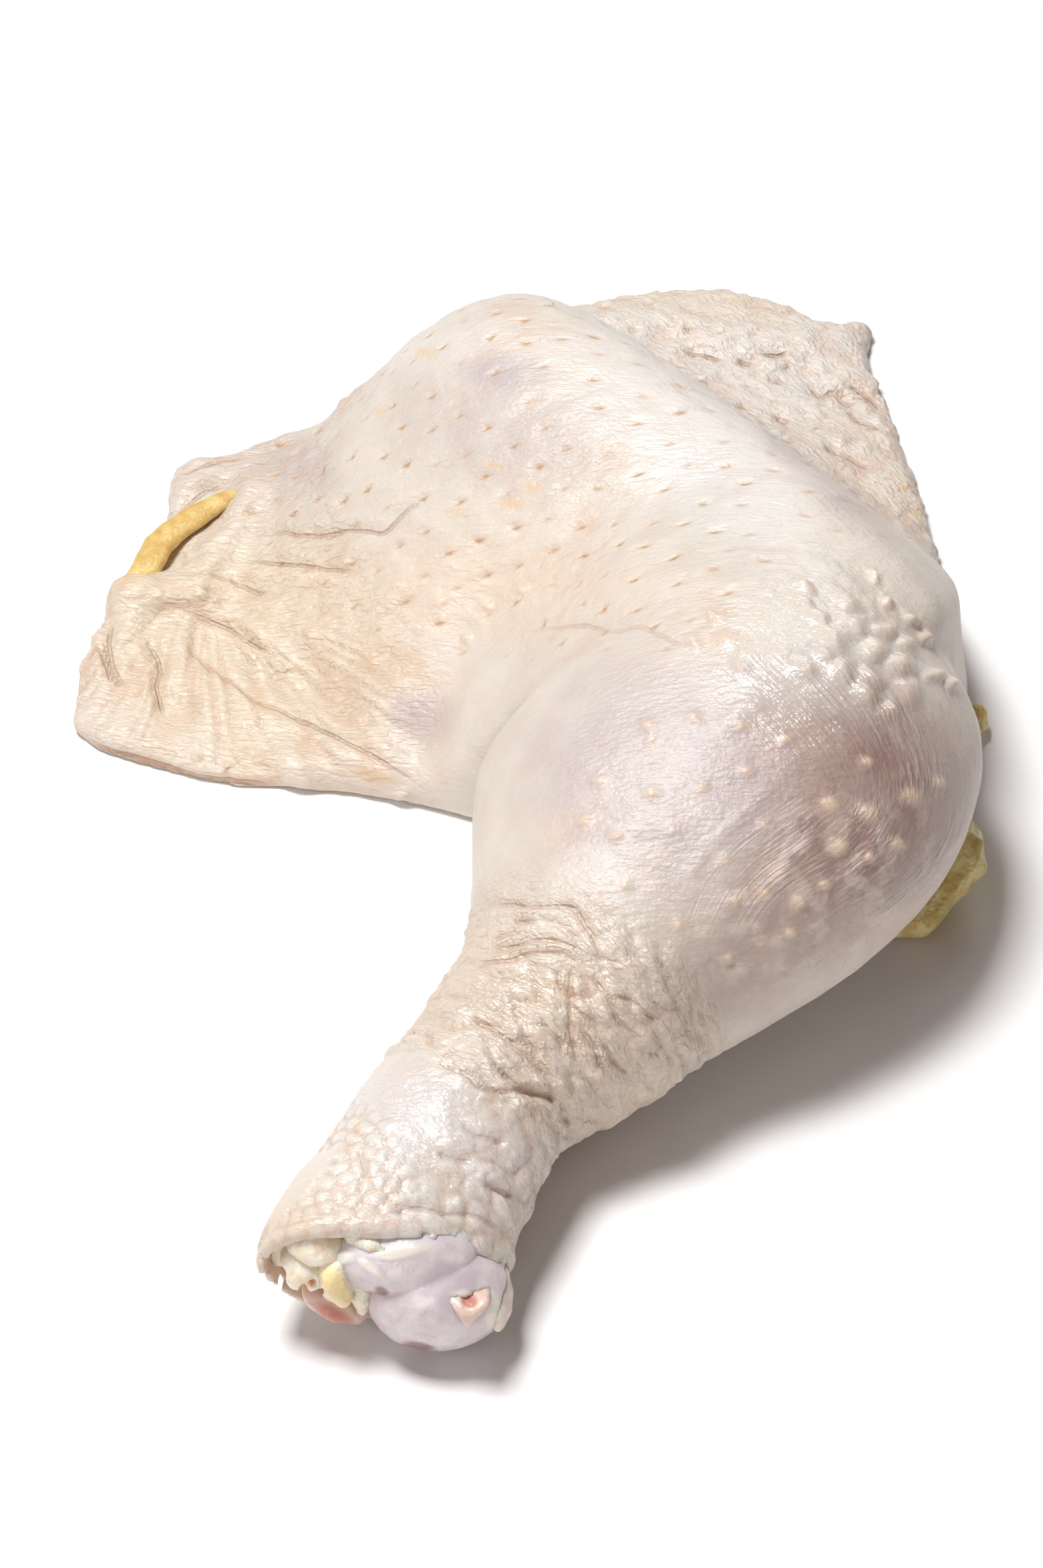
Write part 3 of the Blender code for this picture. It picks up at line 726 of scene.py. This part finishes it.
class Wire:
    """One output of a node, which takes part in sums as a number does."""

    def __init__(self, finish, socket):
        self.finish, self.socket = finish, socket

    def sum_with(self, operation, a, b):
        return self.finish.node("ShaderNodeMath", {"operation": operation}, {0: a, 1: b})

    def __add__(self, other):
        return self.sum_with("ADD", self, other)

    def __radd__(self, other):
        return self.sum_with("ADD", other, self)

    def __sub__(self, other):
        return self.sum_with("SUBTRACT", self, other)

    def __rsub__(self, other):
        return self.sum_with("SUBTRACT", other, self)

    def __mul__(self, other):
        return self.sum_with("MULTIPLY", self, other)

    def __rmul__(self, other):
        return self.sum_with("MULTIPLY", other, self)

    def __truediv__(self, other):
        return self.sum_with("DIVIDE", self, other)

    def __pow__(self, other):
        return self.sum_with("POWER", self, other)


class Finish:
    """A material being put together."""

    def __init__(self, name, **constants):
        self.material = bpy.data.materials.new(name)
        self.material.use_nodes = True
        self.tree = self.material.node_tree
        self.shader = self.tree.nodes["Principled BSDF"]
        for key, value in constants.items():
            self.shader.inputs[key.replace("_", " ").title().replace("Ior", "IOR")].default_value = value

    def node(self, kind, settings=None, inputs=None, output=0):
        """Adds a node: its settings first, then the values or links of its sockets."""
        node = self.tree.nodes.new(kind)
        for key, value in (settings or {}).items():
            setattr(node, key, value)
        for key, value in (inputs or {}).items():
            self.join(value, node.inputs[key])
        return Wire(self, node.outputs[output])

    def join(self, value, socket):
        """Links a wire to a socket, or sets the socket to a value."""
        if isinstance(value, Wire):
            self.tree.links.new(value.socket, socket)
        else:
            socket.default_value = value

    def mask(self, name):
        """A number kept on the mesh's points."""
        return self.node("ShaderNodeAttribute", {"attribute_name": name}, output="Fac")

    def place(self, size, turn=(0.0, 0.0, 0.0)):
        """The point on the object, in steps of size millimetres, turned."""
        coordinates = self.node("ShaderNodeTexCoord", output="Object")
        steps = tuple(1.0 / (s * MM) for s in size)
        turned = self.node("ShaderNodeMapping", {"vector_type": "POINT"},
                           {"Vector": coordinates, "Rotation": turn})
        return self.node("ShaderNodeVectorMath", {"operation": "MULTIPLY"}, {0: turned, 1: steps})

    def noise(self, size, detail=2.0, turn=(0.0, 0.0, 0.0)):
        """Noise around a half, size millimetres across, or a size for each axis."""
        sizes = (size, size, size) if isinstance(size, (int, float)) else size
        return self.node("ShaderNodeTexNoise", {},
                         {"Vector": self.place(sizes, turn), "Scale": 1.0, "Detail": detail})

    def step(self, value, low, high):
        """0 below low, 1 above high, and smooth between."""
        return self.node("ShaderNodeMapRange", {"interpolation_type": "SMOOTHSTEP"},
                         {"Value": value, "From Min": low, "From Max": high})

    def blend(self, share, below, above):
        """One colour over another."""
        inputs = {0: share, MIX_BELOW: below, MIX_ABOVE: above}
        return self.node("ShaderNodeMix", {"data_type": "RGBA"}, inputs, output=MIX_RESULT)

    def bump(self, height_of, distance):
        """Fine relief, distance millimetres high."""
        inputs = {"Height": height_of, "Distance": distance * MM, "Strength": 1.0}
        return self.node("ShaderNodeBump", {}, inputs)

    def end(self, **inputs):
        """Joins what varies to the shader."""
        for key, value in inputs.items():
            self.join(value, self.shader.inputs[key.replace("_", " ").title()])
        return self.material


def colour(red, green, blue):
    """A colour as a paint chart gives it, 0 to 255, in the linear values that a shader reads."""
    return tuple(((c / 255 + 0.055) / 1.055) ** 2.4 for c in (red, green, blue)) + (1.0,)


# %% [markdown]
# ## Skin
# Raw skin is wet, thin and pale: flesh shows lilac and mauve through it, fat shows cream and peach, and light
# spreads inside it. Subsurface light does the spreading. The wet gloss comes from low roughness over fine
# bumps, which breaks the highlights up, with only a thin coat. Painted shade darkens the calf's lower side with
# the mauve, and the creases, hollows, slits and scale gaps; painted highlight whitens the ridge, the knee and
# the ankle's top, and lightens streaks down the calf.

# %% The skin's finish
# Widths, lengths and sizes of fine forms in millimetres
SLIT_SHADE, SLIT_CORE_SHADE = (1.6, 0.6), (0.9, 0.3)
GROOVE_WIDE = 0.34
STREAK_WIDE, STREAK_LONG = 0.40, 7.0
LOBULE_SIZE = 2.6
BUMP_HEIGHT = 0.3
# How far red, green and blue light spread inside the skin, as shares of the scale
SPREAD = (1.0, 0.45, 0.3)

raw = Finish("raw_skin", subsurface_weight=0.45, subsurface_scale=0.002,
             coat_roughness=0.2, specular_ior_level=0.9)
raw.shader.inputs["Subsurface Radius"].default_value = SPREAD
mottle = raw.noise(7.0, 2.0)
fine_mottle = raw.noise(2.2, 2.0)
# Each blend lays one tone over those before it: how much of it shows, and its colour
tint = raw.blend(raw.step(mottle, 0.3, 0.7), colour(223, 214, 203), colour(216, 205, 194))
tint = raw.blend(raw.mask("cream") * (0.5 + 0.6 * mottle), tint, colour(227, 211, 185))
tint = raw.blend(raw.mask("peach") * (0.4 + 0.7 * fine_mottle), tint, colour(230, 211, 190))
# Painted highlight: white over the thigh's ridge, the knee, the top edge and the ankle's top
tint = raw.blend(raw.mask("painted_highlight") * (0.5 + 0.6 * mottle), tint, colour(232, 230, 227))
tint = raw.blend(raw.mask("blush") * (0.5 + 0.6 * mottle), tint, colour(226, 206, 204))
tint = raw.blend(raw.mask("lilac") * (0.5 + 0.6 * mottle), tint, colour(187, 173, 174))
# Mauve flesh showing through, and painted shade on the calf's lower side
tint = raw.blend(raw.mask("mauve_and_shade") * (0.62 + 0.3 * mottle + 0.15 * fine_mottle), tint, colour(150, 118, 112))
pale = raw.step(raw.noise(3.4, 3.0), 0.48, 0.62) * raw.mask("dappled")
tint = raw.blend(pale * 0.5, tint, colour(228, 214, 202))
tint = raw.blend(raw.mask("sallow") * (0.3 + 0.7 * fine_mottle), tint, colour(224, 192, 142))
tint = raw.blend(raw.mask("nodule") * 0.75, tint, colour(224, 202, 176))
# Painted shade in the gaps between the ankle's scales
tint = raw.blend(raw.mask("scale_gap_shade") * 0.6, tint, colour(208, 172, 146))


def parts_of(name):
    """The three numbers of a vector kept on the mesh's points."""
    vector = raw.node("ShaderNodeAttribute", {"attribute_name": name}, output="Vector")
    split = raw.node("ShaderNodeSeparateXYZ", {}, {"Vector": vector})
    return [Wire(raw, split.socket.node.outputs[k]) for k in range(3)]


def spot(x, y, wide, high):
    """A soft oval round a pore: 1 inside it and 0 past its edge, in millimetres."""
    return 1.0 - raw.step((x / wide) ** 2.0 + (y / high) ** 2.0, 0.05, 1.0)


pore_x, pore_y, pore_near = parts_of("pore")
on_pore = raw.step(pore_near, 0.0, 0.4)
# Painted shade in each thigh slit: soft brown over the dimple, and a darker core where it is deepest
slit_shade = spot(pore_x, pore_y, *SLIT_SHADE) * on_pore * raw.mask("thigh") * pore_near
tint = raw.blend(slit_shade * 0.5, tint, colour(208, 172, 130))
slit_core_shade = spot(pore_x, pore_y, *SLIT_CORE_SHADE) * on_pore * raw.mask("thigh") * pore_near
tint = raw.blend(slit_core_shade * 0.7, tint, colour(184, 134, 86))
line_x, line_near, crease_shade_and_red_share = parts_of("crease")
# Painted shade along the creases, and the real reddish line along the cut edge; the same mask presses the
# creases in as bumps
groove = spot(line_x, 0.0, GROOVE_WIDE, 1.0) * raw.step(line_near, 0.08, 0.35) * crease_shade_and_red_share
tint = raw.blend(groove * 0.6, tint, colour(192, 140, 100))


def pillows(size, turn=0.0):
    """Fine puffs with creases between, 0 in a crease, turned round the upright axis by degrees."""
    away = raw.noise(size, 2.0, (0.0, 0.0, math.radians(turn))) - 0.5
    return raw.step(raw.node("ShaderNodeMath", {"operation": "ABSOLUTE"}, {0: away}), 0.0, 0.12)


ringed, rippled, roughened = parts_of("wrinkled")
ring_puffs = pillows((0.8, 2.6, 2.2), -57.0)
flap_puffs = pillows((4.2, 1.0, 1.6), 12.0)
back_puffs = pillows((1.0, 2.6, 1.6), -45.0)
fine_creases = ((1.0 - ring_puffs) * ringed + (1.0 - flap_puffs) * rippled + (1.0 - back_puffs) * roughened)
# Painted shade in the hollows of the puffs and in the fine creases
tint = raw.blend(raw.mask("hollow_shade") * 0.33 + fine_creases * 0.12, tint, colour(212, 176, 146))

streak_x, streak_y, streak_share = parts_of("highlight_streaks")
streak_place = raw.node("ShaderNodeCombineXYZ", {}, {0: streak_x / STREAK_WIDE, 1: streak_y / STREAK_LONG})
highlight_streaks = raw.node("ShaderNodeTexNoise", {},
                   {"Vector": streak_place, "Scale": 1.0, "Detail": 2.0, "Distortion": 0.3})
# Painted highlight: pale streaks over the knee and down the calf's right side
tint = raw.blend(raw.step(highlight_streaks, 0.48, 0.66) * streak_share * 0.35, tint, colour(226, 212, 204))
micro = raw.noise((1.8, 0.6, 0.9), 3.0)
lobules = raw.node("ShaderNodeTexVoronoi", {"feature": "F1"},
                   {"Vector": raw.place((LOBULE_SIZE,) * 3), "Scale": 1.0})
relief = (micro * 0.7 + raw.noise(0.6, 2.0) * 0.35 - groove * 1.0 + highlight_streaks * streak_share * 1.8
          - lobules * raw.mask("peach") * 0.7 - fine_creases * 0.38)
skin.data.materials.append(raw.end(
    Base_Color=tint,
    Roughness=0.46 + 0.12 * fine_mottle - 0.34 * raw.mask("wet"),
    Coat_Weight=0.12 * raw.mask("wet"),
    Normal=raw.bump(relief, BUMP_HEIGHT),
))

# %% [markdown]
# ## What fills the cut ankle
# The knuckle of the shin bone is smooth wet cartilage, with a cut tendon, a tab of flesh, gristle and lumps
# of fat round it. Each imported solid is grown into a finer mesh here, and so are the bits of fat at the leg's
# edges.

# %% Small pieces
# Behind the cut rim the knuckle and the fat swell to meet the skin: from and to, along the second axis
UNDER_RIM = (-95.0, -91.0)


def dress(node, name, voxel, finish, swell=0.0, size=2.0, grow=0.0, tones=(), tuck=0.0):
    """A finer copy of a small solid, grown to close its gaps, with low swells and tones of its own."""
    piece = even_copy(node, name, voxel, smoothing=4)
    own = Skin(piece)
    lift = grow + swell * grain(own.points, size) + 0.35 * swell * grain(own.points, size * 0.4, 3.3)
    for tone, spots, sink in tones:
        share = np.zeros(len(own.points))
        for across, down, wide, high, turn in spots:
            share = np.maximum(share, own.patch(across, down, wide, high, turn, 0.6))
        store(piece, tone, share)
        lift = lift - sink * share
    lift = lift + tuck * ramp(own.points[:, 1], *UNDER_RIM)
    write_points(piece, own.points + own.normals * lift[:, None])
    piece.data.materials.append(finish)
    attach(piece, "root")
    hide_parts(node)


def soft_finish(name, light, dark, roughness=0.3, size=2.0, spread=0.0015, bump=0.1, tones=()):
    """A wet, cloudy finish between two colours, with a third and fourth where the piece keeps a tone."""
    wet = Finish(name, subsurface_weight=0.4, subsurface_scale=spread, specular_ior_level=0.8)
    clouds = wet.noise(size, 3.0)
    tint = wet.blend(wet.step(clouds, 0.35, 0.65), light, dark)
    for tone, stain in tones:
        tint = wet.blend(wet.mask(tone), tint, stain)
    fine_relief = wet.bump(wet.noise(0.5, 3.0), bump)
    return wet.end(Base_Color=tint, Roughness=roughness + 0.15 * clouds, Normal=fine_relief)


cartilage = soft_finish("wet_cartilage", colour(230, 220, 222), colour(212, 199, 206), 0.2, 3.0, bump=0.06,
                        tones=(("white_film", colour(240, 234, 224)),
                               ("bruise", colour(150, 116, 116))))
tendon_red = soft_finish("cut_tendon", colour(236, 216, 202), colour(224, 198, 184), 0.3, 1.5,
                         tones=(("raw_core", colour(206, 140, 124)),))
fat_cream = soft_finish("cream_fat", colour(255, 246, 230), colour(250, 231, 202), 0.3, 1.6, bump=0.2,
                        tones=(("hollow_orange", colour(222, 150, 104)),
                               ("yellow_lobe", colour(246, 226, 168))))
fat_yellow = soft_finish("yellow_fat", colour(228, 200, 128), colour(212, 174, 92), 0.4, 2.0, bump=0.2)
fat_green = soft_finish("olive_fat", colour(232, 220, 154), colour(208, 182, 104), 0.28, 2.4, bump=0.25)
gristle_white = soft_finish("white_gristle", colour(240, 230, 216), colour(222, 204, 188), 0.3, 1.5)

# Tones of the small pieces, as ovals in the picture's pixels: across, down, half width, half height, turn
FILM = ((602, 1884, 52, 12, -8), (560, 1905, 30, 8, 35), (520, 1890, 24, 12, 0), (706, 1948, 34, 10, 8),
        (738, 1968, 14, 34, 8))
BRUISE = ((629, 2021, 34, 10, 10), (575, 1938, 16, 9, 30))
HOLES = ((457, 1934, 8, 7, 0), (469, 1926, 7, 6, 0), (483, 1940, 8, 7, 0), (421, 1916, 17, 22, 0))
CREAM_LOBE = ((506, 1930, 18, 40, -25),)
TENDON_CORE = ((504, 1976, 46, 15, 27),)
TAB_CORE = ((706, 1955, 17, 15, 30),)

dress("knuckle", "shin_knuckle", 0.3, cartilage, 0.1, 5.0, 0.3,
      (("white_film", FILM, -0.3), ("bruise", BRUISE, 0.1)), 0.5)
dress("cuff_fat", "ankle_fat", 0.28, fat_cream, 0.35, 1.6, 0.3,
      (("hollow_orange", HOLES, 0.9), ("yellow_lobe", CREAM_LOBE, -0.4)), 0.3)
dress("tendon", "cut_tendon", 0.22, tendon_red, 0.12, 1.5, 0.3,
      (("raw_core", TENDON_CORE, 0.1),))
dress("tendon_tab", "flesh_tab", 0.16, tendon_red, 0.08, 1.0, 0.3,
      (("raw_core", TAB_CORE, 0.5),))
dress("gristle", "side_gristle", 0.2, gristle_white, 0.2, 1.2, 0.3)
dress("flap_fat", "flap_fat_strip", 0.22, fat_yellow, 0.12, 2.2, 0.15)
dress("knee_fat", "knee_fat_lobe", 0.26, fat_green, 0.6, 2.6, 0.1)
dress("edge_fat", "edge_fat_bit", 0.2, fat_green, 0.3, 1.2)

# %% [markdown]
# ## Table and light
# The leg lies on a plain white table. The main lamp hangs high over it, a little to the left, so that its
# shadow stays close on the right. Weak lamps low at the sides, in front and behind lift the leg's flanks, and
# a faint warm light comes from the room.

# %% Floor, lamps and room
FLOOR_SIZE, FLOOR_LEVEL = 8.0, -0.0001
FLOOR_WHITE = (0.93, 0.93, 0.93, 1.0)
ROOM_TINT, ROOM_STRENGTH = (1.0, 0.62, 0.52, 1.0), 0.06

bpy.ops.object.select_all(action="DESELECT")
bpy.ops.mesh.primitive_plane_add(size=FLOOR_SIZE, location=(0.0, 0.0, FLOOR_LEVEL))
floor = bpy.context.active_object
floor.name = "floor"
floor_finish = Finish("white_table", roughness=0.55)
floor.data.materials.append(floor_finish.end(Base_Color=FLOOR_WHITE))


def hang_lamp(name, place, size, power, tint=(1.0, 1.0, 1.0)):
    """A square lamp, metres from the leg, turned to it."""
    data = bpy.data.lights.new(name, "AREA")
    data.size, data.energy, data.color = size, power, tint
    lamp = bpy.data.objects.new(name, data)
    lamp.location = place
    lamp.rotation_mode = "QUATERNION"
    lamp.rotation_quaternion = (-Vector(place)).to_track_quat("-Z", "Y")
    bpy.context.scene.collection.objects.link(lamp)


hang_lamp("window", (-0.21, 0.04, 0.85), 0.24, 7.9)
hang_lamp("side_fill", (-0.60, -0.35, 0.55), 0.60, 1.3)
hang_lamp("low_fill", (0.85, -0.60, 0.16), 0.30, 0.7, (1.0, 0.92, 0.89))
hang_lamp("front_fill", (-0.25, -1.0, 0.20), 0.30, 1.6, (1.0, 0.97, 0.95))
hang_lamp("back_fill", (0.25, 0.90, 0.40), 0.40, 1.6, (1.0, 0.98, 0.95))

world = bpy.data.worlds.new("white_room")
world.use_nodes = True
background = world.node_tree.nodes["Background"]
background.inputs["Color"].default_value = ROOM_TINT
background.inputs["Strength"].default_value = ROOM_STRENGTH
bpy.context.scene.world = world
bpy.context.scene.view_settings.view_transform = "Standard"

# %% [markdown]
# ## Size
# The looks never make the leg larger: every moved point is kept inside the imported leg's box, which is
# printed.

# %% Print the imported box
print("packed box", [tuple(round(c, 4) for c in corner) for corner in cad_box])
